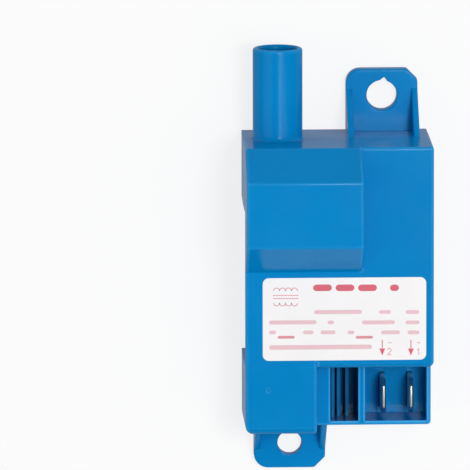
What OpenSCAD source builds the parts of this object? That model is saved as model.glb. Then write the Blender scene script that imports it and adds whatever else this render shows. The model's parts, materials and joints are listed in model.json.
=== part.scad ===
// Potted ignition transformer for a gas or oil burner.
// The mounting face lies on Z = 0 and the label faces +Z. +Y runs towards the high voltage tower.
// The origin is the centre of the lower fixing hole, on the mounting face.

/* [Body] */
// Width of the moulded body
body_w = 34; // [32:0.5:44]
// Height of the body, from the socket end to the tower end
body_h = 52.6; // [50:0.2:64]
// Depth of the body, from the mounting face to the label face
body_d = 22; // [21:0.5:28]
// Wall thickness of the moulding
wall = 1.6; // [1.2:0.1:2]
// How far each half of the body narrows from the parting line to its face
draft = 0.2; // [0:0.05:0.4]
// Radius of the lower left corner and the lower front edge
soft_r = 1.6; // [0.8:0.1:2.4]
// Radius of the other corners, seen from the front
crisp_r = 0.7; // [0.3:0.1:1.2]

// Diameter of the gate mark on the face above the lower lug
gate_mark_d = 0.7; // [0.5:0.1:1.5]
// Depth of the gate mark
gate_mark_depth = 0.06; // [0.05:0.01:0.3]
// Distance from the left wall to the gate mark
gate_mark_x = 4.1; // [3:0.1:8]
// Distance from the socket end to the gate mark
gate_mark_y = 8.2; // [4:0.1:11]

/* [Boss over the coil] */
// Width of the raised boss, from the left wall
boss_w = 21; // [20.5:0.5:24]
// Height of the boss above the label face
boss_h = 7.4; // [6:0.2:9]
// Length of each sloping side of the boss
boss_ramp = 5.5; // [4:0.1:7]
// Length of the flat top of the boss
boss_flat = 11.8; // [10:0.1:14]

/* [Left wall recess] */
// Depth of the long recess in the left wall
recess_d = 1.2; // [0.6:0.1:1.6]
// Distance from the tower end to the recess
recess_top = 12.1; // [8:0.1:16]
// Length of the recess
recess_l = 28.3; // [20:0.1:32]
// Thickness of the lip in front of the recess
recess_lip = 1.5; // [1:0.1:2.5]

/* [High voltage tower] */
// Outer diameter of the tower
tower_d = 9; // [8.6:0.1:10]
// Bore of the tower
tower_bore = 7; // [6.4:0.1:7.4]
// Length of the tower above the body
tower_l = 16.5; // [12:0.1:24]
// Distance from the left wall to the axis of the tower
tower_x = 6.3; // [6:0.1:8]
// Radius of the fillet at the foot of the tower
tower_fillet = 0.8; // [0.4:0.1:1]
// Diameter of the contact spike in the tower
spike_d = 2.4; // [1.6:0.1:3]
// Length of the contact spike in the tower
spike_l = 8.5; // [6:0.5:10]

/* [Fixing lugs] */
// Thickness of the lugs
lug_t = 2.5; // [2:0.1:4]
// Width of the lugs
lug_w = 13; // [12:0.5:16]
// Distance between the fixing holes along the body
hole_pitch_y = 64; // [64:0.5:80]
// Distance between the fixing holes across the body
hole_pitch_x = 16.8; // [15:0.1:18.5]
// Distance from the left wall to the lower fixing hole
lower_hole_x = 8.8; // [8:0.1:9.5]
// Distance from the socket end to the lower fixing hole
lower_hole_drop = 5; // [4.5:0.1:8]
// Diameter of the lower fixing hole
lower_hole_d = 4.4; // [3.5:0.1:5]
// Diameter of the upper fixing hole
upper_hole_d = 5.5; // [4:0.1:6]
// Distance from the lower fixing hole to the end of its lug
lower_lug_end = 4.6; // [4:0.1:6]
// Distance from the upper fixing hole to the end of its lug
upper_lug_end = 4.75; // [4.2:0.05:6]
// Radius of the rounded corner of each lug
lug_r = 2.6; // [1:0.1:3.5]
// Size of the cut corner of each lug
lug_cut = 2; // [1:0.1:3]
// How far the softened ends of the cut reach beyond it
lug_cut_soft = 0.6; // [0.1:0.1:0.7]
// Thickness of the gussets beside the lugs
gusset_t = 1.1; // [0.8:0.1:1.8]
// Width of the pointed notch at the rim of the upper fixing hole
notch_w = 1.2; // [0.6:0.1:1.8]
// Depth of the pointed notch beyond the upper fixing hole
notch_d = 0.6; // [0.4:0.1:1.2]
// Angle between the pointed notch and the direction of the tower
notch_angle = 7; // [0:1:20]

/* [Socket] */
// Distance from the mounting face to the rim of the socket
socket_rim_z = 12.5; // [11:0.1:14]
// Height of the socket block, up to the step in the body
socket_h = 12.1; // [11:0.1:14]
// Width of the rim to the left of the coding cavity
socket_rim_w = 2.85; // [1.6:0.05:3.2]
// Thickness of the bottom and right walls of the socket
socket_wall = 0.75; // [0.7:0.05:1.2]
// Width of the coding cavity
coding_w = 5.1; // [4.6:0.1:6]
// Thickness of the partition between the cavities
partition_t = 1.2; // [0.8:0.05:1.6]
// Width of the cavity that holds the tabs
cavity_w = 11.2; // [10.6:0.1:11.4]
// Thickness of the socket floor
floor_t = 1; // [0.8:0.1:1.4]
// Height of the tab cavity and the coding cavity
cavity_h = 9.9; // [8.6:0.1:10]
// Radius of the edge above the socket
step_r = 1.25; // [0.6:0.05:1.6]
// Radius of the right corner above the socket, seen from the front
step_corner_r = 1.2; // [0.4:0.1:2]
// Thickness of each coding rib
coding_rib_t = 0.6; // [0.4:0.05:0.8]
// Distance from the left of the coding cavity to the first rib
coding_rib_x = 0.4; // [0.2:0.05:0.8]
// Gap between the first and second coding ribs
coding_rib_gap = 0.4; // [0.2:0.05:0.6]
// Gap between the second and third coding ribs
coding_rib_wide_gap = 0.95; // [0.4:0.05:1.2]
// Depth of the coding ribs below the rim
coding_rib_drop = 4.8; // [4:0.2:6]

/* [Terminal tabs] */
// Width of each tab
tab_w = 6.3; // [4.8:0.1:6.3]
// Thickness of each tab
tab_t = 0.8; // [0.5:0.1:0.8]
// Free length of each tab above the socket floor
tab_l = 7.9; // [6:0.1:8.2]
// Distance from the bottom of the body to the middle of the tabs
tab_y = 5; // [4.4:0.1:5.6]
// Distance from the middle of the tab cavity to the middle of the pair of tabs
tab_shift = 0.35; // [0:0.05:0.5]
// Distance between the tabs
tab_pitch = 5; // [4.6:0.1:5.4]
// Chamfer at the tip of each tab
tab_chamfer = 1.2; // [0.6:0.1:1.6]
// Diameter of the detent hole in each tab
tab_hole_d = 1.6; // [1:0.1:2]
// Distance from the tip to the detent hole
tab_hole_drop = 4.1; // [3:0.1:4.6]

/* [Rating label] */
// Distance from the left wall to the label
label_x = 3.1; // [2:0.1:6]
// Distance from the right wall to the label
label_right_gap = 1.4; // [1:0.1:6]
// Gap between the label and the rounded edge above the socket
label_low_gap = 0.3; // [0.1:0.1:2]
// Gap between the label and the foot of the boss
label_high_gap = 1.05; // [0.4:0.05:3]
// Thickness of the label
label_t = 0.12; // [0.08:0.01:0.3]
// Corner radius of the label
label_r = 1.1; // [0.5:0.1:2]

/* [Circuit board and potting] */
// Thickness of the circuit board
board_t = 1.6; // [1:0.1:1.6]
// Distance from the mounting face to the back of the circuit board
board_z = 1.2; // [1:0.1:1.4]
// Gap between the circuit board and the walls
board_gap = 0.4; // [0.2:0.1:0.8]
// Depth of the potting surface below the mounting face
potting_drop = 0.4; // [0.2:0.05:0.5]
// Diameter of the component leads
lead_d = 0.8; // [0.6:0.05:0.9]
// Height that components stand above the circuit board
standoff = 0.5; // [0.3:0.1:1]

/* [Ignition coil] */
// Radius of the bobbin flanges
flange_r = 10; // [9:0.1:10]
// Thickness of each bobbin flange
flange_t = 0.8; // [0.6:0.1:1]
// Number of winding chambers
chambers = 5; // [3:1:6]
// Outer radius of the bobbin tube
tube_r = 5.6; // [5.4:0.1:6]
// Wall of the bobbin tube
tube_wall = 1.1; // [0.8:0.1:1.1]
// Depth of the secondary winding below the flange rims
winding_drop = 0.7; // [0.4:0.1:2]
// Diameter of the primary wire
primary_d = 0.9; // [0.5:0.1:1]
// Number of primary turns
primary_turns = 13; // [8:1:14]
// Clearance between parts that slide together
fit_gap = 0.1; // [0.05:0.05:0.2]

/* [Hidden] */
$fn = 48;
housing_blue = "#0084c8";
// Overlap of joined solids, and the length by which a cut passes a face
eps = 0.01;
cut = 1;

// The parting line lies half way through the depth, and the tower is centred on it
parting_z = body_d / 2;
boss_front = body_d + boss_h;
boss_foot = body_h - 2 * boss_ramp - boss_flat;
ramp_angle = atan2(boss_h, boss_ramp);

// Inner faces of the cup
inner_w = body_w - wall;
inner_top = body_h - wall;
step_inner = socket_h + wall;
recess_inner = recess_d + wall;

upper_hole_x = lower_hole_x + hole_pitch_x;
upper_hole_y = hole_pitch_y - lower_hole_drop;

// The socket is laid out from the right wall of the body
cavity_x = body_w - socket_wall - cavity_w;
coding_x = cavity_x - partition_t - coding_w;
socket_x = coding_x - socket_rim_w;
block_inner = socket_x - wall;
second_rib_x = coding_x + coding_rib_x + coding_rib_t + coding_rib_gap;
coding_rib_places = [coding_x + coding_rib_x, second_rib_x,
    second_rib_x + coding_rib_t + coding_rib_wide_gap];
board_top = board_z + board_t;
floor_z = board_top + floor_t;
tab_x = cavity_x + cavity_w / 2 + tab_shift;
tab_tip_z = floor_z + tab_l;

// The board clears the walls of the cup and the recess
board_x0 = recess_inner + board_gap;
board_x1 = inner_w - board_gap;
board_y0 = wall + board_gap;
board_y1 = inner_top - board_gap;
seat_z = board_top + standoff;

// The label lies between the walls, and between the step and the boss
label_w = body_w - label_x - label_right_gap;
label_y = socket_h + step_r + label_low_gap;

// Small fixed measures of the lugs and the contact
gusset_reach = 1.2;
contact_head_w = 1;
contact_head_t = 0.7;
contact_tail_l = 0.8;
spike_point_l = 1.6;
spike_tip_r = 0.2;

// The coil lies across the body, below the boss
coil_side_gap = 0.6;
coil_end_gap = 2;
coil_lift = 1.6;
core_overhang = 0.1;
primary_pin_gap = 0.2;
crossover_depth = 1.2;
high_voltage_wire_d = 0.6;
coil_x0 = board_x0 + lead_d + coil_side_gap;
coil_x1 = boss_w - wall - lead_d - board_gap;
coil_l = coil_x1 - coil_x0;
coil_y = inner_top - flange_r - coil_end_gap;
coil_z = board_top + flange_r + coil_lift;
core_r = tube_r - tube_wall - primary_d - 2 * fit_gap;
winding_r = flange_r - winding_drop;
primary_r = core_r + fit_gap + primary_d / 2;
primary_l = primary_turns * primary_d;
primary_x0 = (coil_x0 + coil_x1 - primary_l) / 2;
chamber_l = (coil_l - flange_t) / chambers - flange_t;
crossover_r = tube_r + crossover_depth;
secondary_lead_z = coil_z - tube_r - crossover_depth;

// Component bodies: boxes as sizes along X, Y and Z, round ones as diameter and length
storage_size = [18, 8.5, 14.5];
suppression_size = [5, 10.5, 11];
thyristor_size = [4.4, 9.8, 13];
varistor_r = 3.5;
varistor_t = 3.2;
diode_size = [2.7, 5.2];
trigger_size = [1.8, 4];
dropping_size = [4.2, 14];
resistor_size = [2.4, 6.4];

// Lead spacings, the height of a bent lead over its part, and the solder
storage_pitch = 15;
suppression_pitch = 7.5;
thyristor_pitch = 2.54;
varistor_pitch = 5;
dropping_pitch = 4;
standing_pitch = 2.5;
lead_bend = 1.2;
solder_cover = 0.15;
solder_tip_r = lead_d / 2 + 0.05;
solder_foot_r = lead_d + 0.1;

// Gap between components, and the spacing of the small upright ones
part_gap = 0.2;
standing_step = 5;
small_part_x = 9;
small_part_step = 6;

// Three rows of components lie between the step and the coil
storage_at = [board_x0 + part_gap, step_inner + resistor_size[0] + 2 * part_gap];
dropping_at = [storage_at[0] + storage_size[0] + part_gap + dropping_size[0] / 2,
    storage_at[1] + dropping_size[0] / 2];
bleed_at = [board_x0 + small_part_x, step_inner + part_gap + resistor_size[0] / 2];
trigger_at = bleed_at + [small_part_step, 0];
upper_row_y = storage_at[1] + storage_size[1] + part_gap + varistor_t / 2;
varistor_at = [board_x0 + part_gap + varistor_r, upper_row_y];
rectifier_at = varistor_at + [varistor_r + part_gap + diode_size[0] / 2, 0];
freewheel_at = rectifier_at + [standing_step, 0];
gate_at = freewheel_at + [standing_step, 0];

// Two flat components stand in a column beside the coil
suppression_at = [board_x1 - suppression_size[0] - part_gap, upper_row_y + varistor_t / 2 + part_gap];
thyristor_at = [board_x1 - thyristor_size[0] - part_gap,
    suppression_at[1] + suppression_size[1] + part_gap];

function pair_x(at, pitch) = [at, at + [pitch, 0]];
function pair_y(at, pitch) = [at, at + [0, pitch]];
function chamber_x(i) = coil_x0 + flange_t + i * (chamber_l + flange_t);

storage_middle = storage_at + [storage_size[0], storage_size[1]] / 2;
storage_pins = [for (i = [-1, 1]) storage_middle + [i * storage_pitch / 2, 0]];
suppression_middle = suppression_at + [suppression_size[0], suppression_size[1]] / 2;
suppression_pins = [for (i = [-1, 1]) suppression_middle + [0, i * suppression_pitch / 2]];
thyristor_middle = thyristor_at + [thyristor_size[0], thyristor_size[1]] / 2;
thyristor_pins = [for (i = [-1:1]) thyristor_middle + [0, i * thyristor_pitch]];
varistor_pins = [for (i = [-1, 1]) varistor_at + [i * varistor_pitch / 2, 0]];
dropping_pins = pair_y(dropping_at, dropping_pitch);
rectifier_pins = pair_x(rectifier_at, standing_pitch);
freewheel_pins = pair_x(freewheel_at, standing_pitch);
gate_pins = pair_x(gate_at, standing_pitch);
bleed_pins = pair_x(bleed_at, standing_pitch);
trigger_pins = pair_x(trigger_at, standing_pitch);
tab_pins = [for (i = [-1, 1], j = [-1, 1]) [tab_x + i * tab_pitch / 2, tab_y + j * tab_w / 4]];
primary_pins = [for (x = [coil_x0 - lead_d / 2 - primary_pin_gap,
    coil_x1 + lead_d / 2 + primary_pin_gap]) [x, coil_y]];
secondary_pin = [chamber_x(chambers - 1) + chamber_l / 2, coil_y];
all_pins = concat(storage_pins, suppression_pins, thyristor_pins, varistor_pins, dropping_pins,
    rectifier_pins, freewheel_pins, gate_pins, bleed_pins, trigger_pins, tab_pins, primary_pins,
    [secondary_pin]);

// Moves a piece drawn from the body's lower left corner into the part's own frame
module in_frame() {
    translate([-lower_hole_x, lower_hole_drop, 0]) children();
}

// Extrudes a profile drawn in Y and Z along X
module along_x(x0, x1) {
    translate([x0, 0, 0])
        rotate([90, 0, 90])
            linear_extrude(x1 - x0) children();
}

// Turns a revolved shape so that its axis runs along Y
module along_y(at) {
    translate(at)
        rotate([-90, 0, 0]) children();
}

// Box given by its lowest and highest corners
module block(low, high) {
    translate(low) cube(high - low);
}

// Rectangle with its own radius at each corner
module plate_outline(w, h, r_low_left, r_low_right, r_top_right, r_top_left) {
    difference() {
        square([w, h]);
        square(r_low_left);
        translate([w - r_low_right, 0]) square(r_low_right);
        translate([w - r_top_right, h - r_top_right]) square(r_top_right);
        translate([0, h - r_top_left]) square(r_top_left);
    }
    translate([r_low_left, r_low_left]) circle(r_low_left);
    translate([w - r_low_right, r_low_right]) circle(r_low_right);
    translate([w - r_top_right, h - r_top_right]) circle(r_top_right);
    translate([r_top_left, h - r_top_left]) circle(r_top_left);
}

// Side profile with a rounded lower front edge, from y0 to the tower end
module side_profile(y0, z1, r) {
    translate([y0 + r, 0]) square([body_h - y0 - r, z1]);
    translate([y0, 0]) square([r + eps, z1 - r]);
    translate([y0 + r, z1 - r]) circle(r);
}

// Outline of the boss seen from the side, moved in by the given wall
module boss_profile(inset, foot_z) {
    corner = inset * tan(ramp_angle / 2);
    front = boss_front - inset;
    rise = front - foot_z;
    run = rise / tan(ramp_angle);
    polygon([
        [body_h - boss_ramp - corner + run, foot_z],
        [body_h - boss_ramp - corner, front],
        [boss_foot + boss_ramp + corner, front],
        [boss_foot + boss_ramp + corner - run, foot_z]
    ]);
}

// Both halves of the body narrow a little from the parting line
module drafted_envelope() {
    far = boss_front + cut;
    front_draft = draft * (far - parting_z) / parting_z;
    intersection() {
        along_x(-cut, body_w + cut)
            polygon([[draft, 0], [0, parting_z], [0, far], [body_h - front_draft, far],
                [body_h, parting_z], [body_h - draft, 0]]);
        translate([0, body_h + cut, 0])
            rotate([90, 0, 0])
                linear_extrude(body_h + 2 * cut)
                    polygon([[draft, 0], [0, parting_z], [0, far], [body_w, far],
                        [body_w, parting_z], [body_w - draft, 0]]);
        linear_extrude(far)
            plate_outline(body_w, body_h, soft_r, crisp_r, crisp_r, crisp_r);
    }
}

module body_shell() {
    intersection() {
        drafted_envelope();
        union() {
            along_x(0, socket_x) side_profile(0, body_d, soft_r);
            intersection() {
                along_x(socket_x - eps, body_w) side_profile(socket_h, body_d, step_r);
                translate([0, socket_h, 0])
                    linear_extrude(body_d)
                        plate_outline(body_w, body_h - socket_h, crisp_r, step_corner_r, crisp_r, crisp_r);
            }
            block([socket_x - eps, 0, 0], [body_w, body_h / 2, socket_rim_z]);
            along_x(0, boss_w) boss_profile(0, parting_z);
        }
    }
}

// Space inside the cup, open at the mounting face
module cup_space(z0) {
    difference() {
        union() {
            block([wall, step_inner, z0], [inner_w, inner_top, body_d - wall]);
            block([wall, wall, z0], [block_inner, step_inner + eps, body_d - wall]);
            block([wall, wall, z0], [inner_w, step_inner + eps, board_top]);
            block([block_inner - eps, wall, z0],
                [coding_x - wall, step_inner + eps, socket_rim_z - wall]);
            intersection() {
                along_x(wall, boss_w - wall) boss_profile(wall, body_d - wall - cut);
                block([0, 0, 0], [body_w, inner_top, boss_front]);
            }
        }
        block([0, body_h - recess_top - recess_l - wall, -cut],
            [recess_inner, body_h - recess_top + wall, body_d - recess_lip + wall]);
    }
}

// The tower, drawn along Z from the end face of the body
module tower() {
    r = tower_d / 2;
    rim_r = (tower_d - tower_bore) / 4;
    foot_r = r + tower_fillet;
    // The drafted end face falls this much by the edge of the fillet
    foot_y = -draft * foot_r / parting_z - eps;
    rotate_extrude() {
        translate([0, -wall / 2]) square([r, wall / 2 + tower_l - rim_r]);
        translate([r - rim_r, tower_l - rim_r]) circle(rim_r);
        difference() {
            translate([0, -wall / 2]) square([foot_r, wall / 2 + foot_y + tower_fillet]);
            translate([foot_r, foot_y + tower_fillet]) circle(tower_fillet);
        }
    }
}

// One lug with its two gussets, drawn with its foot on y = 0 and running towards +Y
module lug(l, hole_y, hole_d) {
    gusset_end = hole_y + gusset_reach;
    r_cut = lug_cut + lug_cut_soft;
    translate([-lug_w / 2, 0, 0]) {
        difference() {
            union() {
                translate([0, -wall, 0])
                    linear_extrude(lug_t)
                        plate_outline(lug_w, l + wall, crisp_r, crisp_r, r_cut, lug_r);
                for (x = [0, lug_w - gusset_t])
                    along_x(x, x + gusset_t)
                        polygon([[-wall, 0], [gusset_end, 0], [gusset_end, lug_t],
                            [0, parting_z], [-wall, parting_z]]);
            }
            translate([lug_w / 2, hole_y, -cut]) cylinder(d = hole_d, h = lug_t + 2 * cut);
            translate([lug_w, l, -cut])
                linear_extrude(lug_t + 2 * cut)
                    polygon([[-lug_cut, 0], [0, -lug_cut], [cut, -lug_cut], [cut, cut],
                        [-lug_cut, cut]]);
        }
    }
}

module upper_lug() {
    rim = upper_hole_d / 2;
    difference() {
        translate([upper_hole_x, body_h, 0])
            lug(upper_hole_y - body_h + upper_lug_end, upper_hole_y - body_h, upper_hole_d);
        translate([upper_hole_x, upper_hole_y, -cut])
            rotate([0, 0, -notch_angle])
                linear_extrude(lug_t + 2 * cut)
                    polygon([[-notch_w / 2, 0], [notch_w / 2, 0], [notch_w / 2, rim], [0, rim + notch_d],
                        [-notch_w / 2, rim]]);
    }
}

module lower_lug() {
    translate([lower_hole_x, 0, 0])
        mirror([0, 1, 0])
            lug(lower_hole_drop + lower_lug_end, lower_hole_drop, lower_hole_d);
}

module socket_cavities() {
    mouth = socket_rim_z + cut;
    difference() {
        block([coding_x, socket_wall, floor_z], [coding_x + coding_w, socket_wall + cavity_h, mouth]);
        for (x = coding_rib_places)
            block([x, 0, floor_z - cut], [x + coding_rib_t, socket_h, socket_rim_z - coding_rib_drop]);
    }
    block([cavity_x, socket_wall, floor_z], [cavity_x + cavity_w, socket_wall + cavity_h, mouth]);
    for (i = [-1, 1])
        block([tab_x + i * tab_pitch / 2 - tab_t / 2 - fit_gap, tab_y - tab_w / 2 - fit_gap, 0],
            [tab_x + i * tab_pitch / 2 + tab_t / 2 + fit_gap, tab_y + tab_w / 2 + fit_gap, mouth]);
}

// The moulded housing: cup, boss, tower, socket and lugs in one piece
module housing() {
    color(housing_blue) in_frame() difference() {
        union() {
            body_shell();
            upper_lug();
            lower_lug();
            along_y([tower_x, body_h, parting_z]) tower();
        }
        cup_space(-cut);
        socket_cavities();
        block([-cut, body_h - recess_top - recess_l, -cut],
            [recess_d, body_h - recess_top, body_d - recess_lip]);
        translate([gate_mark_x, gate_mark_y, body_d - gate_mark_depth])
            cylinder(d = gate_mark_d, h = cut);
        along_y([tower_x, body_h, parting_z]) cylinder(d = tower_bore, h = tower_l + cut);
        along_y([tower_x, inner_top - cut, parting_z])
            cylinder(d = spike_d + 2 * fit_gap, h = wall + 2 * cut);
    }
}

module rating_label() {
    color("white") in_frame()
        translate([label_x, label_y, body_d])
            linear_extrude(label_t)
                plate_outline(label_w, boss_foot - label_high_gap - label_y, label_r, label_r,
                    label_r, label_r);
}

// Lead from the back of the board up to a height
module lead(at, z1) {
    translate([at[0], at[1], board_z]) cylinder(d = lead_d, h = z1 - board_z);
}

module terminal_tab(x) {
    color("silver") in_frame() {
        intersection() {
            along_x(x - tab_t / 2, x + tab_t / 2)
                difference() {
                    polygon([
                        [tab_y - tab_w / 2, board_top], [tab_y + tab_w / 2, board_top],
                        [tab_y + tab_w / 2, tab_tip_z - tab_chamfer],
                        [tab_y + tab_w / 2 - tab_chamfer, tab_tip_z],
                        [tab_y - tab_w / 2 + tab_chamfer, tab_tip_z],
                        [tab_y - tab_w / 2, tab_tip_z - tab_chamfer]
                    ]);
                    translate([tab_y, tab_tip_z - tab_hole_drop]) circle(d = tab_hole_d);
                }
            translate([x, tab_y + tab_w, 0])
                rotate([90, 0, 0])
                    linear_extrude(2 * tab_w)
                        polygon([[-tab_t, 0], [tab_t, 0], [tab_t, tab_tip_z - tab_chamfer],
                            [tab_t / 4, tab_tip_z + eps], [-tab_t / 4, tab_tip_z + eps],
                            [-tab_t, tab_tip_z - tab_chamfer]]);
        }
        for (j = [-1, 1]) lead([x, tab_y + j * tab_w / 4], board_top + eps);
    }
}

module terminal_tab_1() {
    terminal_tab(tab_x + tab_pitch / 2);
}

module terminal_tab_2() {
    terminal_tab(tab_x - tab_pitch / 2);
}

// Head, shank and pointed end of the high voltage contact, along +Y
module contact_shape() {
    head_r = spike_d / 2 + contact_head_w;
    shank_y = contact_tail_l + contact_head_t;
    tip_y = shank_y + wall + spike_l;
    along_y([tower_x, inner_top - shank_y, parting_z])
        rotate_extrude()
            polygon([[0, 0], [lead_d, 0], [lead_d, contact_tail_l], [head_r, contact_tail_l],
                [head_r, shank_y], [spike_d / 2, shank_y], [spike_d / 2, tip_y - spike_point_l],
                [spike_tip_r, tip_y], [0, tip_y]]);
}

module high_voltage_contact() {
    color("goldenrod") in_frame() contact_shape();
}

// Short wire from the winding to the tail of the contact
module high_voltage_lead_shape() {
    foot_y = inner_top - contact_tail_l - contact_head_t;
    difference() {
        along_y([tower_x, coil_y + winding_r / 2, parting_z])
            cylinder(d = high_voltage_wire_d, h = foot_y - coil_y - winding_r / 2);
        coil_envelope();
    }
}

module high_voltage_lead() {
    color("peru") in_frame() high_voltage_lead_shape();
}

// Cylinder on the axis of the coil
module coil_cylinder(x0, x1, r) {
    translate([x0, coil_y, coil_z])
        rotate([0, 90, 0]) cylinder(r = r, h = x1 - x0);
}

module coil_bobbin() {
    color("ivory") in_frame() difference() {
        union() {
            coil_cylinder(coil_x0, coil_x1, tube_r);
            for (i = [0:chambers])
                coil_cylinder(coil_x0 + i * (chamber_l + flange_t),
                    coil_x0 + i * (chamber_l + flange_t) + flange_t, flange_r);
        }
        coil_cylinder(coil_x0 - cut, coil_x1 + cut, tube_r - tube_wall);
        crossovers(lead_d + 2 * fit_gap);
    }
}

// Wire that crosses from chamber to chamber through the flanges
module crossovers(d) {
    for (i = [0:chambers - 2])
        translate([chamber_x(i) + chamber_l - eps, coil_y + crossover_r, coil_z])
            rotate([0, 90, 0]) cylinder(d = d, h = flange_t + 2 * eps);
}

module secondary_winding() {
    color("chocolate") in_frame() {
        for (i = [0:chambers - 1])
            difference() {
                coil_cylinder(chamber_x(i), chamber_x(i) + chamber_l, winding_r);
                coil_cylinder(chamber_x(i) - cut, chamber_x(i) + chamber_l + cut, tube_r);
            }
        crossovers(lead_d);
        lead(secondary_pin, secondary_lead_z);
    }
}

module ferrite_core() {
    color("dimgray") in_frame()
        coil_cylinder(coil_x0 - core_overhang, coil_x1 + core_overhang, core_r);
}

// The two ends of the primary, from the first and last turn to the board
module primary_leads() {
    wire_z = coil_z - primary_r;
    for (p = primary_pins) {
        inner_x = p[0] < coil_x0 ? primary_x0 + primary_d / 2 : primary_x0 + primary_l - primary_d / 2;
        lead(p, wire_z + lead_d / 2);
        translate([min(p[0], inner_x), coil_y, wire_z])
            rotate([0, 90, 0]) cylinder(d = lead_d - fit_gap, h = abs(inner_x - p[0]));
    }
}

module primary_winding() {
    color("orangered") in_frame() {
        translate([primary_x0, coil_y, coil_z])
            rotate([0, 90, 0])
                rotate_extrude()
                    for (i = [0:primary_turns - 1])
                        translate([primary_r, (i + 0.5) * primary_d])
                            circle(d = primary_d + 2 * eps, $fn = 16);
        primary_leads();
    }
}

module circuit_board() {
    color("darkgreen") in_frame() difference() {
        block([board_x0, board_y0, board_z], [board_x1, board_y1, board_top]);
        for (p = all_pins)
            translate([p[0], p[1], board_z - cut]) cylinder(d = lead_d + fit_gap, h = board_t + 2 * cut);
    }
}

module solder_joint(p) {
    translate([p[0], p[1], potting_drop + solder_cover])
        cylinder(r1 = solder_tip_r, r2 = solder_foot_r, h = board_z - potting_drop - solder_cover);
}

module solder_joints() {
    color("lightgray") in_frame() for (p = all_pins) solder_joint(p);
}

// Box shaped component on leads
module box_part(at, size, pins) {
    block([at[0], at[1], seat_z], [at[0] + size[0], at[1] + size[1], seat_z + size[2]]);
    for (p = pins) lead(p, seat_z + eps);
}

// Round component that stands upright on one lead, with the other bent over its top
module standing_part(at, other, size) {
    top = seat_z + size[1];
    step = other - at;
    translate([at[0], at[1], seat_z]) cylinder(d = size[0], h = size[1]);
    lead(at, seat_z + eps);
    lead(other, top + lead_bend + lead_d / 2);
    translate([at[0], at[1], top - eps]) cylinder(d = lead_d, h = lead_bend + lead_d / 2 + eps);
    translate([at[0], at[1], top + lead_bend])
        rotate([0, 90, atan2(step[1], step[0])]) cylinder(d = lead_d - fit_gap, h = norm(step));
}

module storage_capacitor() {
    color("gold") in_frame() box_part(storage_at, storage_size, storage_pins);
}

module suppression_capacitor() {
    color("khaki") in_frame() box_part(suppression_at, suppression_size, suppression_pins);
}

module thyristor() {
    color("#222222") in_frame() box_part(thyristor_at, thyristor_size, thyristor_pins);
}

module varistor_shape() {
    translate([varistor_at[0], varistor_at[1] + varistor_t / 2, seat_z + varistor_r])
        rotate([90, 0, 0]) cylinder(r = varistor_r, h = varistor_t);
    for (p = varistor_pins) lead(p, seat_z + varistor_r);
}

module varistor() {
    color("royalblue") in_frame() varistor_shape();
}

module rectifier_diode() {
    color("#222222") in_frame() standing_part(rectifier_pins[0], rectifier_pins[1], diode_size);
}

module freewheel_diode() {
    color("#333333") in_frame() standing_part(freewheel_pins[0], freewheel_pins[1], diode_size);
}

module trigger_diode() {
    color("steelblue") in_frame() standing_part(trigger_pins[0], trigger_pins[1], trigger_size);
}

module dropping_resistor() {
    color("mediumseagreen") in_frame()
        standing_part(dropping_pins[0], dropping_pins[1], dropping_size);
}

module gate_resistor() {
    color("wheat") in_frame() standing_part(gate_pins[0], gate_pins[1], resistor_size);
}

module bleed_resistor() {
    color("tan") in_frame() standing_part(bleed_pins[0], bleed_pins[1], resistor_size);
}

// Outer envelope of the coil, filled inside
module coil_envelope() {
    coil_cylinder(coil_x0 - core_overhang, coil_x1 + core_overhang, core_r);
    coil_cylinder(coil_x0, coil_x1, winding_r);
    for (i = [0:chambers])
        coil_cylinder(coil_x0 + i * (chamber_l + flange_t),
            coil_x0 + i * (chamber_l + flange_t) + flange_t, flange_r);
}

// The resin that fills the cup round everything on the board
module potting_compound() {
    color("#30302c") in_frame() difference() {
        cup_space(potting_drop);
        block([board_x0, board_y0, board_z], [board_x1, board_y1, board_top]);
        for (p = all_pins) solder_joint(p);
        coil_envelope();
        primary_leads();
        lead(secondary_pin, secondary_lead_z);
        contact_shape();
        high_voltage_lead_shape();
        box_part(storage_at, storage_size, storage_pins);
        box_part(suppression_at, suppression_size, suppression_pins);
        box_part(thyristor_at, thyristor_size, thyristor_pins);
        varistor_shape();
        standing_part(rectifier_pins[0], rectifier_pins[1], diode_size);
        standing_part(freewheel_pins[0], freewheel_pins[1], diode_size);
        standing_part(trigger_pins[0], trigger_pins[1], trigger_size);
        standing_part(dropping_pins[0], dropping_pins[1], dropping_size);
        standing_part(gate_pins[0], gate_pins[1], resistor_size);
        standing_part(bleed_pins[0], bleed_pins[1], resistor_size);
    }
}

housing();
potting_compound();
rating_label();
terminal_tab_1();
terminal_tab_2();
high_voltage_contact();
high_voltage_lead();
circuit_board();
solder_joints();
coil_bobbin();
ferrite_core();
primary_winding();
secondary_winding();
storage_capacitor();
suppression_capacitor();
varistor();
thyristor();
trigger_diode();
rectifier_diode();
freewheel_diode();
dropping_resistor();
gate_resistor();
bleed_resistor();
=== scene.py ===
import json
import math

import bmesh
import bpy
from mathutils import Matrix, Vector
from mathutils.bvhtree import BVHTree


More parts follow.
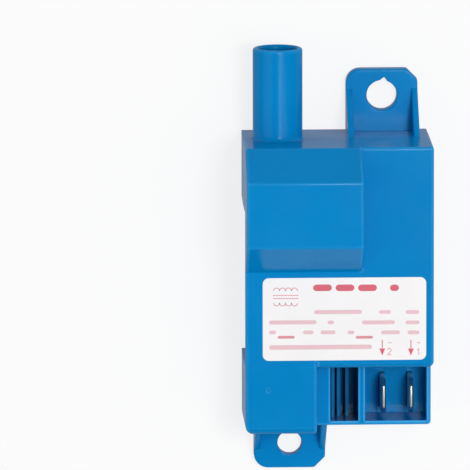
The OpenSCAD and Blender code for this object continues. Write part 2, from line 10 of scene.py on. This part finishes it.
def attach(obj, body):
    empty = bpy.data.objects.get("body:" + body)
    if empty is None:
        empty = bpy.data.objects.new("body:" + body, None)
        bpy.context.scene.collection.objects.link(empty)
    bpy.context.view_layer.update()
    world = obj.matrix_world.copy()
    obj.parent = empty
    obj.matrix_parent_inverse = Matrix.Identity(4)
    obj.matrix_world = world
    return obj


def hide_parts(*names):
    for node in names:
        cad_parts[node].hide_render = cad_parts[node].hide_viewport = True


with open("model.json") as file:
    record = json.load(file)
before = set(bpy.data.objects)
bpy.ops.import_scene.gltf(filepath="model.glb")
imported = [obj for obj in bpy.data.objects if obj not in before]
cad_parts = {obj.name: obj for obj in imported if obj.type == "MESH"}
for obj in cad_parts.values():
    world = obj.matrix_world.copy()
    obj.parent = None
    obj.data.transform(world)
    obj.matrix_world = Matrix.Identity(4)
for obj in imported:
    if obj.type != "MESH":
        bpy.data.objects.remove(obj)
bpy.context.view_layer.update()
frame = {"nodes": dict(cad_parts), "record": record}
nodes = frame["nodes"]
scene = bpy.context.scene
MM = 0.001

# The camera stands where the photograph was taken from: TARGET is the point of the part seen at TARGET_PX
PHOTO_PX = 470
TARGET = Vector((8.2, 31.0, 22.0)) * MM
TARGET_PX = (339.75, 292.67)
PX_PER_MM = 5.55
DISTANCE = 1936 * MM
ELEVATION = math.radians(9.62)
AZIMUTH = math.radians(2.83)
SENSOR = 36.0
VIEW_END = 10.0

toward = Vector((-math.sin(AZIMUTH) * math.cos(ELEVATION), math.sin(ELEVATION),
                 math.cos(AZIMUTH) * math.cos(ELEVATION)))
right = Vector((0, 1, 0)).cross(toward).normalized()
up = toward.cross(right)


def add_camera():
    """Adds the camera, turned so that the target shows at its pixel."""
    aim = (TARGET - right * (TARGET_PX[0] - PHOTO_PX / 2) / PX_PER_MM * MM
           + up * (TARGET_PX[1] - PHOTO_PX / 2) / PX_PER_MM * MM)
    data = bpy.data.cameras.new("camera")
    data.sensor_width = SENSOR
    data.lens = PX_PER_MM / MM * DISTANCE / PHOTO_PX * SENSOR
    data.clip_end = VIEW_END
    camera = bpy.data.objects.new("camera", data)
    scene.collection.objects.link(camera)
    back = (TARGET + toward * DISTANCE - aim).normalized()
    side = up.cross(back).normalized()
    turn = Matrix((side, back.cross(side), back)).transposed()
    camera.matrix_world = Matrix.Translation(TARGET + toward * DISTANCE) @ turn.to_4x4()
    scene.camera = camera


add_camera()


def linear(code):
    """Linear colour, with alpha, of a six-figure colour code."""
    channels = [int(code[i:i + 2], 16) / 255 for i in (0, 2, 4)]
    return [c / 12.92 if c <= 0.04045 else ((c + 0.055) / 1.055) ** 2.4 for c in channels] + [1.0]


class Nodes:
    """Builds a material's node tree with short calls."""

    # Places of a mix node's colour sockets
    MIX_FIRST, MIX_SECOND, MIX_RESULT = 6, 7, 2

    def __init__(self, name):
        self.material = bpy.data.materials.new(name)
        self.material.use_nodes = True
        self.tree = self.material.node_tree
        self.tree.nodes.clear()
        self.place = self.add("ShaderNodeTexCoord").outputs["Object"]

    def add(self, kind, **values):
        node = self.tree.nodes.new(kind)
        for key, value in values.items():
            setattr(node, key, value)
        return node

    def link(self, source, node, socket):
        self.tree.links.new(source, node.inputs[socket])

    def noise(self, scale, detail=3.0, rough=0.5, stretch=None):
        node = self.add("ShaderNodeTexNoise")
        node.inputs["Scale"].default_value = scale
        node.inputs["Detail"].default_value = detail
        node.inputs["Roughness"].default_value = rough
        place = self.place
        if stretch:
            mapping = self.add("ShaderNodeMapping")
            mapping.inputs["Scale"].default_value = stretch
            self.link(place, mapping, "Vector")
            place = mapping.outputs["Vector"]
        self.link(place, node, "Vector")
        return node.outputs["Fac"]

    def ramp(self, source, stops):
        """Colour that runs through stops, each a place from 0 to 1 and a colour without alpha."""
        node = self.add("ShaderNodeValToRGB")
        for element, (at, colour) in zip(node.color_ramp.elements, stops, strict=True):
            element.position = at
            element.color = [*colour, 1.0]
        self.link(source, node, "Fac")
        return node.outputs["Color"]

    def span(self, source, low, high, first=0.3, last=0.7):
        """Maps a value between first and last, by default the spread of noise, onto low to high."""
        node = self.add("ShaderNodeMapRange")
        for name, value in (("From Min", first), ("From Max", last), ("To Min", low), ("To Max", high)):
            node.inputs[name].default_value = value
        self.link(source, node, "Value")
        return node.outputs["Result"]

    def times(self, one, two):
        node = self.add("ShaderNodeMath", operation="MULTIPLY")
        self.link(one, node, 0)
        self.link(two, node, 1)
        return node.outputs["Value"]

    def near(self, source, middle, reach):
        """1 where a coordinate is within reach of a middle, in mm, and 0 elsewhere."""
        node = self.add("ShaderNodeMath", operation="COMPARE")
        self.link(source, node, 0)
        node.inputs[1].default_value = middle * MM
        node.inputs[2].default_value = reach * MM
        return node.outputs["Value"]

    def mixed(self, colour, other, share):
        """A colour, run over to another one by a share from 0 to 1."""
        node = self.add("ShaderNodeMix", data_type="RGBA")
        self.link(share, node, "Factor")
        self.link(colour, node, self.MIX_FIRST)
        node.inputs[self.MIX_SECOND].default_value = other
        return node.outputs[self.MIX_RESULT]

    def soft_edges(self, radius):
        """Normals that run softly over sharp edges."""
        node = self.add("ShaderNodeBevel", samples=6)
        node.inputs["Radius"].default_value = radius
        return node.outputs["Normal"]

    def bump(self, height, strength, distance, normal=None):
        node = self.add("ShaderNodeBump")
        node.inputs["Strength"].default_value = strength
        node.inputs["Distance"].default_value = distance
        self.link(height, node, "Height")
        if normal:
            self.link(normal, node, "Normal")
        return node.outputs["Normal"]

    def finish(self, colour, roughness, normal, **fixed):
        shader = self.add("ShaderNodeBsdfPrincipled")
        for name, value in fixed.items():
            shader.inputs[name.replace("_", " ")].default_value = value
        self.link(colour, shader, "Base Color")
        self.link(roughness, shader, "Roughness")
        self.link(normal, shader, "Normal")
        output = self.add("ShaderNodeOutputMaterial")
        self.link(shader.outputs["BSDF"], output, "Surface")
        return self.material


# Height of the finest grain on a surface
FINE = 0.01 * MM

# Painted highlight on outer edges, in mm: reach of the occlusion that finds them, its span from lit to
# plain, and lowest z
HIGHLIGHT_REACH = 0.5
HIGHLIGHT_OCCLUSION = (0.74, 0.93)
HIGHLIGHT_Z = (11.4, 12.0)

# Painted shade deep in the coding slots, in mm: its colour, middle and half size of its area, its spans of
# z and x, and shares
SLOT_SHADE = "24262c"
SLOT_SHADE_MIDDLE = (9.45, 10.65)
SLOT_SHADE_HALF = (2.6, 5.1)
SLOT_SHADE_Z = (11.0, 12.4)
SLOT_SHADE_X = (6.8, 11.0)
SLOT_SHADE_SHARE = (0.2, 0.6)


def housing_painted_light(n, colour, edge_highlight):
    """Paints light on the housing: a highlight along outer edges, and shade deep in the coding slots."""
    split = n.add("ShaderNodeSeparateXYZ")
    n.link(n.place, split, "Vector")
    x, y, z = split.outputs
    # Painted highlight: a lighter colour along outer edges, found by occlusion inside the solid
    rim = n.add("ShaderNodeAmbientOcclusion", inside=True, only_local=True, samples=8)
    rim.inputs["Distance"].default_value = HIGHLIGHT_REACH * MM
    thin = n.span(rim.outputs["AO"], 1.0, 0.0, *HIGHLIGHT_OCCLUSION)
    outer = n.span(z, 0.0, 1.0, *(level * MM for level in HIGHLIGHT_Z))
    colour = n.mixed(colour, linear(edge_highlight), n.times(thin, outer))
    # Painted shade: a dark colour deep in the coding slots, stronger towards larger x
    inside = n.times(n.near(x, SLOT_SHADE_MIDDLE[0], SLOT_SHADE_HALF[0]), n.near(y, SLOT_SHADE_MIDDLE[1], SLOT_SHADE_HALF[1]))
    deep = n.times(inside, n.span(z, 1.0, 0.0, *(level * MM for level in SLOT_SHADE_Z)))
    shade_share = n.span(x, *SLOT_SHADE_SHARE, *(place * MM for place in SLOT_SHADE_X))
    return n.mixed(colour, linear(SLOT_SHADE), n.times(deep, shade_share))


def plastic(name, code, dark, light, rough=(0.3, 0.4), grain=900.0, depth=FINE, edge=None, gloss=0.5,
            edge_highlight=None):
    """Moulded plastic: slow mottling, fine grain, uneven gloss, and if asked soft edges and painted
    highlight and shade.
    """
    n = Nodes(name)
    base = linear(code)[:3]
    slow = n.noise(55.0, 4.0, 0.55)
    colour = n.ramp(slow, [(0.32, [c * dark for c in base]), (0.68, [min(1, c * light) for c in base])])
    # Painted light: a lighter highlight along outer edges and dark shade deep in the coding slots
    if edge_highlight:
        colour = housing_painted_light(n, colour, edge_highlight)
    fine = n.noise(grain, 2.0, 0.6)
    normal = n.bump(fine, 0.12, depth, n.soft_edges(edge) if edge else None)
    return n.finish(colour, n.span(n.noise(160.0, 5.0), *rough), normal, Specular_IOR_Level=gloss)


def metal(name, code, rough=(0.15, 0.3)):
    """Metal with fine drawn streaks and a little tarnish."""
    n = Nodes(name)
    base = linear(code)[:3]
    colour = n.ramp(n.noise(240.0, 5.0, 0.6), [(0.3, [c * 0.82 for c in base]), (0.62, base)])
    lines = n.noise(1.0, 3.0, 0.5, (900.0, 900.0, 60.0))
    normal = n.bump(lines, 0.1, FINE)
    return n.finish(colour, n.span(n.noise(420.0), *rough), normal, Metallic=1.0)


def film(name, code):
    """Printed or bare label film, with a faint unevenness."""
    n = Nodes(name)
    base = linear(code)[:3]
    colour = n.ramp(n.noise(140.0, 3.0), [(0.3, [c * 0.965 for c in base]), (0.7, base)])
    return n.finish(colour, n.span(n.noise(500.0), 0.3, 0.42), n.bump(n.noise(1600.0, 2.0), 0.05, FINE))


looks = {
    # The housing's plastic gets a painted highlight, 3cacf0, on outer edges and painted shade in its coding
    # slots
    "housing_plastic": plastic("housing_plastic", "0086ca", 0.96, 1.03, (0.15, 0.21), edge=0.3 * MM,
                               gloss=0.1, edge_highlight="3cacf0"),
    "potting_resin": plastic("potting_resin", "3a3a36", 0.85, 1.1, (0.45, 0.6), 300.0, 0.04 * MM),
    "label_film": film("label_film", "faf8f8"),
    "tinned_brass": metal("tinned_brass", "dcdedd", (0.26, 0.36)),
    "contact_brass": metal("contact_brass", "c8a04a"),
    "copper_wire": metal("copper_wire", "b06a3a"),
    "solder": metal("solder", "b4b6b8", (0.2, 0.35)),
    "board_laminate": plastic("board_laminate", "3f6b3a", 0.9, 1.05),
    "bobbin_plastic": plastic("bobbin_plastic", "d8d2c0", 0.96, 1.02),
    "ferrite": plastic("ferrite", "38383a", 0.85, 1.1, (0.5, 0.65)),
    "capacitor_yellow": plastic("capacitor_yellow", "d8a828", 0.94, 1.04),
    "varistor_coating": plastic("varistor_coating", "2c5fa8", 0.92, 1.05),
    "black_epoxy": plastic("black_epoxy", "202022", 0.85, 1.15, (0.4, 0.55)),
    "glass_diode": plastic("glass_diode", "b06a40", 0.92, 1.05, (0.1, 0.2)),
    "resistor_body": plastic("resistor_body", "8aa88c", 0.94, 1.04, (0.45, 0.6)),
}
slot_of = {row["node"]: row["material_slot"] for row in frame["record"]["subparts"]}
for node, slot in slot_of.items():
    nodes[node].data.materials.clear()
    nodes[node].data.materials.append(looks[slot])


def piece(name, mesh, replaces=None):
    """Adds a finished piece of the part."""
    obj = bpy.data.objects.new(name, mesh)
    scene.collection.objects.link(obj)
    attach(obj, "root")
    if replaces:
        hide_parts(replaces)
    return obj


# Limits for doubled points, flat areas, wide faces, slivers, sharp edges, creases and faces that look down
WELD = 0.002 * MM
FLAT = math.radians(0.6)
FLAT_WIDTH = 0.7 * MM
SLIVER = 0.02 * MM * MM
SHARP = math.radians(28)
CREASE = math.radians(35)
FACES_DOWN = -0.5

# How far outside an edge the search for a wall in front of it starts
CLEAR = 0.05 * MM

# Radii of the housing's outer edges, in mm
RIM_R = 0.25
FRONT_R = 0.45
SOCKET_R = 0.35
LUG_R = 0.3

# Places that tell those edges apart, in mm
TOWER_RIM_Y = 74.0
BODY_Y = (5.1, 57.4)
FRONT_Z = 20.3
UPRIGHT_X = (4.0, 4.2)
UPRIGHT_TOP = 20.6
SOCKET_Z = (12.4, 12.6)
SOCKET_RIGHT_X = 24.5
SOCKET_WALL_Y = 5.65
LUG_Z = (2.4, 2.6)
GUSSET_TOP = 11.1
GUSSET_RUN = 5

# Steps of a rounded edge, and how far its cutter passes its ends, its sides in steps, and itself in radii
ROUND_STEPS = 4
CUTTER_END = 0.03 * MM
CUTTER_SIDE = 0.2
CUTTER_CREST = 0.4

# Widths of the soft edges on the tabs and the contact
TAB_EDGE = 0.16 * MM
CONTACT_EDGE = 0.06 * MM


def merged(mesh):
    """Editable copy of a mesh in which doubled points are joined and flat areas are single faces."""
    bm = bmesh.new()
    bm.from_mesh(mesh)
    bmesh.ops.remove_doubles(bm, verts=bm.verts, dist=WELD)
    bmesh.ops.dissolve_limit(bm, angle_limit=FLAT, verts=bm.verts, edges=bm.edges, delimit={"NORMAL"})
    return bm


def edge_radius(edge, tree):
    """Moulding radius, in mm, of an outer edge of the housing, or 0 where it stays sharp."""
    if not edge.is_manifold or edge.calc_face_angle_signed(0) < SHARP:
        return 0
    if min(f.calc_area() for f in edge.link_faces) < SLIVER:
        return 0
    if min(f.normal.z for f in edge.link_faces) < FACES_DOWN:
        return 0
    outward = sum((f.normal for f in edge.link_faces), Vector()).normalized()
    middle = (edge.verts[0].co + edge.verts[1].co) / 2
    if tree.ray_cast(middle + outward * CLEAR, outward)[0]:
        return 0
    low_x, low_y, low_z = (min(v.co[i] for v in edge.verts) / MM for i in range(3))
    high_x, high_y, high_z = (max(v.co[i] for v in edge.verts) / MM for i in range(3))
    if low_y > TOWER_RIM_Y:
        return RIM_R
    if low_z > FRONT_Z:
        return FRONT_R
    upright = UPRIGHT_X[0] < low_x and high_x < UPRIGHT_X[1] and high_y < BODY_Y[0]
    if upright and low_z > SOCKET_Z[0] and high_z < UPRIGHT_TOP:
        return FRONT_R
    socket_side = low_x > SOCKET_RIGHT_X or high_y < SOCKET_WALL_Y
    if socket_side and low_z > SOCKET_Z[0] and high_z < SOCKET_Z[1]:
        return SOCKET_R
    if low_z > LUG_Z[0] and high_z < LUG_Z[1]:
        return LUG_R
    gusset = high_y - low_y > GUSSET_RUN and (high_y < BODY_Y[0] or low_y > BODY_Y[1])
    if gusset and low_z > LUG_Z[0] and high_z < GUSSET_TOP:
        return LUG_R
    return 0


def edge_cutter(edge, radius):
    """Closed prism along a sharp edge: what is left without it is a rounded edge."""
    one, two = (f.normal for f in edge.link_faces)
    start, end = (v.co for v in edge.verts)
    along = (end - start).normalized() * CUTTER_END
    inward = (one + two) / (1 + one.dot(two)) * radius
    profile = [one.slerp(two, i / ROUND_STEPS) * radius - inward for i in range(ROUND_STEPS + 1)]
    profile[0] += (profile[0] - profile[1]) * CUTTER_SIDE
    profile[-1] += (profile[-1] - profile[-2]) * CUTTER_SIDE
    profile.append((one + two).normalized() * CUTTER_CREST * radius)
    bm = bmesh.new()
    first = [bm.verts.new(start - along + q) for q in profile]
    last = [bm.verts.new(end + along + q) for q in profile]
    bm.faces.new(first)
    bm.faces.new(last[::-1])
    for i in range(len(profile)):
        j = (i + 1) % len(profile)
        bm.faces.new((first[j], first[i], last[i], last[j]))
    bmesh.ops.recalc_face_normals(bm, faces=bm.faces)
    mesh = bpy.data.meshes.new("cutter")
    bm.to_mesh(mesh)
    bm.free()
    return mesh


def rounded(bm):
    """The housing with its outer edges rounded."""
    work = bpy.data.objects.new("work", bpy.data.meshes.new("work"))
    bm.to_mesh(work.data)
    scene.collection.objects.link(work)
    tree = BVHTree.FromBMesh(bm)
    cutters = []
    for edge in bm.edges:
        radius = edge_radius(edge, tree)
        if not radius:
            continue
        cutter = bpy.data.objects.new("cutter", edge_cutter(edge, radius * MM))
        scene.collection.objects.link(cutter)
        cutters.append(cutter)
        step = work.modifiers.new("cut", "BOOLEAN")
        step.operation = "DIFFERENCE"
        step.solver = "MANIFOLD"
        step.object = cutter
    mesh = bpy.data.meshes.new_from_object(work.evaluated_get(bpy.context.evaluated_depsgraph_get()))
    for obj in [work] + cutters:
        old = obj.data
        bpy.data.objects.remove(obj)
        bpy.data.meshes.remove(old)
    bm.free()
    return merged(mesh)


def mean_width(face):
    """About the width of a long face: twice its area over its outline."""
    return 2 * face.calc_area() / sum(e.calc_length() for e in face.edges)


def dressed(node, name, width=0.0, rounds=False):
    """Copy of a node's shape that stands for it: smooth on curves, flat on wide faces, rounded if asked."""
    bm = merged(nodes[node].data)
    if rounds:
        bm = rounded(bm)
    if width:
        edges = [e for e in bm.edges if e.is_manifold and e.calc_face_angle(0) > SHARP]
        bmesh.ops.bevel(bm, geom=edges, offset=width, offset_type="OFFSET", segments=ROUND_STEPS,
                        profile=0.5, affect="EDGES", clamp_overlap=False, loop_slide=True)
    wide = {f for f in bm.faces if mean_width(f) > FLAT_WIDTH}
    for face in bm.faces:
        face.smooth = True
    for edge in bm.edges:
        edge.smooth = not wide.intersection(edge.link_faces) and edge.calc_face_angle(math.pi) < CREASE
    bmesh.ops.triangulate(bm, faces=[f for f in bm.faces if len(f.verts) > 4])
    mesh = bpy.data.meshes.new(name)
    bm.to_mesh(mesh)
    bm.free()
    if mesh.has_custom_normals:
        mesh.attributes.remove(mesh.attributes["custom_normal"])
    mesh.materials.append(looks[slot_of[node]])
    return piece(name, mesh, node)


dressed("housing", "housing_moulding", rounds=True)
dressed("terminal_tab_1", "flat_tab_1", TAB_EDGE)
dressed("terminal_tab_2", "flat_tab_2", TAB_EDGE)
dressed("high_voltage_contact", "contact_spike", CONTACT_EDGE)

# Print on the label, drawn as flat shapes whose faces lie just proud of it, in mm
PRINT_TOP = 22.14
PRINT_DEPTH = 0.03


def on_label(px, py):
    """Point of the label face that the camera sees at a pixel of the photograph, in mm."""
    u = (px - TARGET_PX[0]) / PX_PER_MM
    v = (TARGET_PX[1] - py) / PX_PER_MM
    across, deep = TARGET.x / MM, PRINT_TOP - TARGET.z / MM
    x = across + (u - deep * right.z) / right.x
    y = TARGET.y / MM + (v - (x - across) * up.x - deep * up.z) / up.y
    return x, y


def slabs(name, outlines, material):
    """Thin printed shapes, one closed slab for each outline of (x, y) points in mm."""
    bm = bmesh.new()
    for outline in outlines:
        low = [bm.verts.new((x * MM, y * MM, (PRINT_TOP - PRINT_DEPTH) * MM)) for x, y in outline]
        high = [bm.verts.new((x * MM, y * MM, PRINT_TOP * MM)) for x, y in outline]
        bm.faces.new(high)
        bm.faces.new(low[::-1])
        for i in range(len(outline)):
            j = (i + 1) % len(outline)
            bm.faces.new((low[i], low[j], high[j], high[i]))
    bmesh.ops.recalc_face_normals(bm, faces=bm.faces)
    mesh = bpy.data.meshes.new(name)
    bm.to_mesh(mesh)
    bm.free()
    mesh.materials.append(material)
    return piece(name, mesh)


def bar(x0, y0, x1, y1, steps=5):
    """Bar with round ends between two opposite corners given in pixels."""
    (left, top), (edge, bottom) = on_label(x0, y0), on_label(x1, y1)
    r = (top - bottom) / 2
    middle = (top + bottom) / 2
    turn = [math.pi * (0.5 + i / steps) for i in range(steps + 1)]
    return ([(left + r + r * math.cos(t), middle + r * math.sin(t)) for t in turn]
            + [(edge - r - r * math.cos(t), middle - r * math.sin(t)) for t in turn])


def row_bars(middle, spans, height):
    """Bars of one line of print, from pairs of left and right ends in pixels."""
    return [bar(left, middle - height / 2, edge, middle + height / 2) for left, edge in spans]


def stroke(points, width):
    """Line of even width, in mm, through points given in pixels."""
    line = [Vector(on_label(*q)) for q in points]
    sides = []
    for i, q in enumerate(line):
        before = (q - line[i - 1]).normalized() if i else (line[1] - q).normalized()
        after = (line[i + 1] - q).normalized() if i < len(line) - 1 else before
        along = (before + after).normalized()
        out = Vector((-along.y, along.x)) * width / 2 / max(0.5, along.dot(before))
        sides.append((q + out, q - out))
    return [tuple(a) for a, _ in sides] + [tuple(b) for _, b in reversed(sides)]


def arc(x, y, r, first, last, steps=10):
    """Points of an arc in pixels, with angles in degrees anticlockwise from the right."""
    angles = [math.radians(first + (last - first) * i / steps) for i in range(steps + 1)]
    return [(x + r * math.cos(t), y - r * math.sin(t)) for t in angles]


# Lines of print in pixels: the middle of each, and the left and right ends of its bars
PALE_H = 3.6
PALE_ROWS = (
    (312.0, ((314, 362), (379, 391), (405.5, 419.5))),
    (322.4, ((269, 316.5), (327.5, 334), (362, 395), (405.5, 419.5))),
    (332.4, ((269, 276), (303, 313.5), (320.5, 335.5), (347.5, 354.5), (381, 400), (407.5, 419.5))),
    (347.2, ((269, 372),)),
)
SMALL_H = 2.6
SMALL_ROW = (337.3, ((277.6, 294.6), (355.6, 373)))
TITLE_H = 6.4
TITLE_ROW = (287.8, ((313, 332), (335.5, 354.5), (358, 377), (390, 399)))

red = film("print_red", "dc5a70")
pink = film("print_pink", "ecc4cc")
rose = film("print_rose", "e0909c")
slabs("print_pale_bars", [b for middle, spans in PALE_ROWS for b in row_bars(middle, spans, PALE_H)], pink)
slabs("print_small_bars", row_bars(*SMALL_ROW, SMALL_H), rose)
slabs("print_title_bars", row_bars(*TITLE_ROW, TITLE_H), red)

# Winding symbol: two rows of loops on both sides of a core, in pixels, with line widths in mm
COIL_TURNS = 4
TURN_R = 3.0
COIL_X = 276.6
COIL_ROWS = ((291.0, 180), (303.0, -180))
CORE_ENDS = (273, 298.5)
CORE_ROWS = (295.4, 298.6)
SYMBOL_LINE = 0.14

symbol = []
for row, start in COIL_ROWS:
    for i in range(COIL_TURNS):
        symbol.append(stroke(arc(COIL_X + 2 * TURN_R * i, row, TURN_R, start, 0), SYMBOL_LINE))
symbol += [stroke([(x, row) for x in CORE_ENDS], SYMBOL_LINE) for row in CORE_ROWS]
slabs("print_symbol", symbol, rose)

# Arrows that point at the two tabs, in pixels
ARROW_XS = (382.3, 411.0)
ARROW_START = 339.8
ARROW_NECK = 348.6
ARROW_TIP = 355.6
SHAFT_HALF = 0.45
HEAD_HALF = 2.9


def arrow(x):
    """Outline of an arrow that points down."""
    corners = ((x - SHAFT_HALF, ARROW_START), (x - SHAFT_HALF, ARROW_NECK), (x - HEAD_HALF, ARROW_NECK),
               (x, ARROW_TIP), (x + HEAD_HALF, ARROW_NECK), (x + SHAFT_HALF, ARROW_NECK),
               (x + SHAFT_HALF, ARROW_START))
    return [on_label(*q) for q in corners]


slabs("print_arrows", [arrow(x) for x in ARROW_XS], red)

# Numbers beside the arrows, with a short dash above each, in pixels, with line widths in mm
DIGIT_LINE = 0.13
DIGIT_TWO = arc(389.4, 350.2, 1.8, 165, -30, 8) + [(387.6, 354.8), (391.6, 354.8)]
DIGIT_ONE = [(417.2, 350.2), (418.8, 348.6), (418.8, 355.2)]
DASH_LINE = 0.12
DASH_Y = 342.8
DASHES = ((387.9, 391.6), (417.0, 420.4))

numbers = [stroke(digit, DIGIT_LINE) for digit in (DIGIT_TWO, DIGIT_ONE)]
numbers += [stroke([(x, DASH_Y) for x in ends], DASH_LINE) for ends in DASHES]
slabs("print_numbers", numbers, rose)

# Floor: its size in metres, its colour, the share of even white that the eye sees, and its mirrored level
FLOOR_REACH = 3.0
FLOOR_Z = -0.2 * MM
FLOOR_COLOUR = (0.9, 0.9, 0.9, 1)
FLOOR_EVEN = 0.8
FLOOR_MIRRORED = 0.4

# Levels of the world: as light, and in reflections
WORLD_LIGHT = 0.3
WORLD_MIRRORED = 0.03


def floor_material():
    """Pale floor: nearly even white with a light shadow for the eye, and an even tone in reflections."""
    n = Nodes("floor")
    path = n.add("ShaderNodeLightPath")
    shade = n.add("ShaderNodeBsdfDiffuse")
    shade.inputs["Color"].default_value = FLOOR_COLOUR
    glow = n.add("ShaderNodeEmission")
    seen = n.add("ShaderNodeMath", operation="MULTIPLY")
    seen.inputs[1].default_value = FLOOR_EVEN
    n.link(path.outputs["Is Camera Ray"], seen, 0)
    share = n.add("ShaderNodeMath", operation="MAXIMUM")
    n.link(seen.outputs["Value"], share, 0)
    n.link(path.outputs["Is Glossy Ray"], share, 1)
    n.link(n.span(path.outputs["Is Glossy Ray"], 1.0, FLOOR_MIRRORED, 0.0, 1.0), glow, "Strength")
    mix = n.add("ShaderNodeMixShader")
    n.link(share.outputs["Value"], mix, "Fac")
    n.link(shade.outputs["BSDF"], mix, 1)
    n.link(glow.outputs["Emission"], mix, 2)
    output = n.add("ShaderNodeOutputMaterial")
    n.link(mix.outputs["Shader"], output, "Surface")
    return n.material


def add_floor():
    """Adds the floor, just under the part."""
    corners = ((-FLOOR_REACH, -FLOOR_REACH), (FLOOR_REACH, -FLOOR_REACH), (FLOOR_REACH, FLOOR_REACH),
               (-FLOOR_REACH, FLOOR_REACH))
    material = floor_material()
    mesh = bpy.data.meshes.new("floor")
    mesh.from_pydata([(x, y, FLOOR_Z) for x, y in corners], [], [(0, 1, 2, 3)])
    mesh.materials.append(material)
    floor = bpy.data.objects.new("floor", mesh)
    scene.collection.objects.link(floor)


def add_world():
    """Adds soft light from all round, dimmer in reflections, and white for the eye."""
    world = bpy.data.worlds.new("world")
    scene.world = world
    world.use_nodes = True
    sky = world.node_tree
    background = sky.nodes["Background"]
    background.inputs["Color"].default_value = (1, 1, 1, 1)
    path = sky.nodes.new("ShaderNodeLightPath")
    dim = sky.nodes.new("ShaderNodeMapRange")
    dim.inputs["To Min"].default_value = WORLD_LIGHT
    dim.inputs["To Max"].default_value = WORLD_MIRRORED
    sky.links.new(path.outputs["Is Glossy Ray"], dim.inputs["Value"])
    eye = sky.nodes.new("ShaderNodeMath")
    eye.operation = "MAXIMUM"
    sky.links.new(dim.outputs["Result"], eye.inputs[0])
    sky.links.new(path.outputs["Is Camera Ray"], eye.inputs[1])
    sky.links.new(eye.outputs["Value"], background.inputs["Strength"])


# How far from the target each lamp stands, in metres
LAMP_DISTANCE = 1.0


def softbox(name, direction, size, level):
    """Lamp that faces the part and lights a white face turned to it to the given level."""
    data = bpy.data.lights.new(name, "AREA")
    data.shape = "RECTANGLE"
    data.size, data.size_y = size
    data.energy = level * (math.pi * LAMP_DISTANCE) ** 2
    lamp = bpy.data.objects.new(name, data)
    scene.collection.objects.link(lamp)
    lamp.location = TARGET + Vector(direction).normalized() * LAMP_DISTANCE
    lamp.rotation_euler = Vector(direction).to_track_quat("Z", "Y").to_euler()


add_floor()
add_world()
softbox("key", (0.16, 0.15, 1.0), (0.22, 0.22), 0.46)
softbox("strip_high", (0.05, 0.6, 0.8), (0.9, 0.12), 0.05)
softbox("strip_low", (0.05, -0.6, 0.8), (0.9, 0.12), 0.07)
softbox("strip_left", (-0.766, -0.1, 0.643), (0.3, 0.8), 0.08)
softbox("strip_right", (0.438, -0.1, 0.899), (0.2, 0.8), 0.12)
scene.view_settings.view_transform = "Standard"
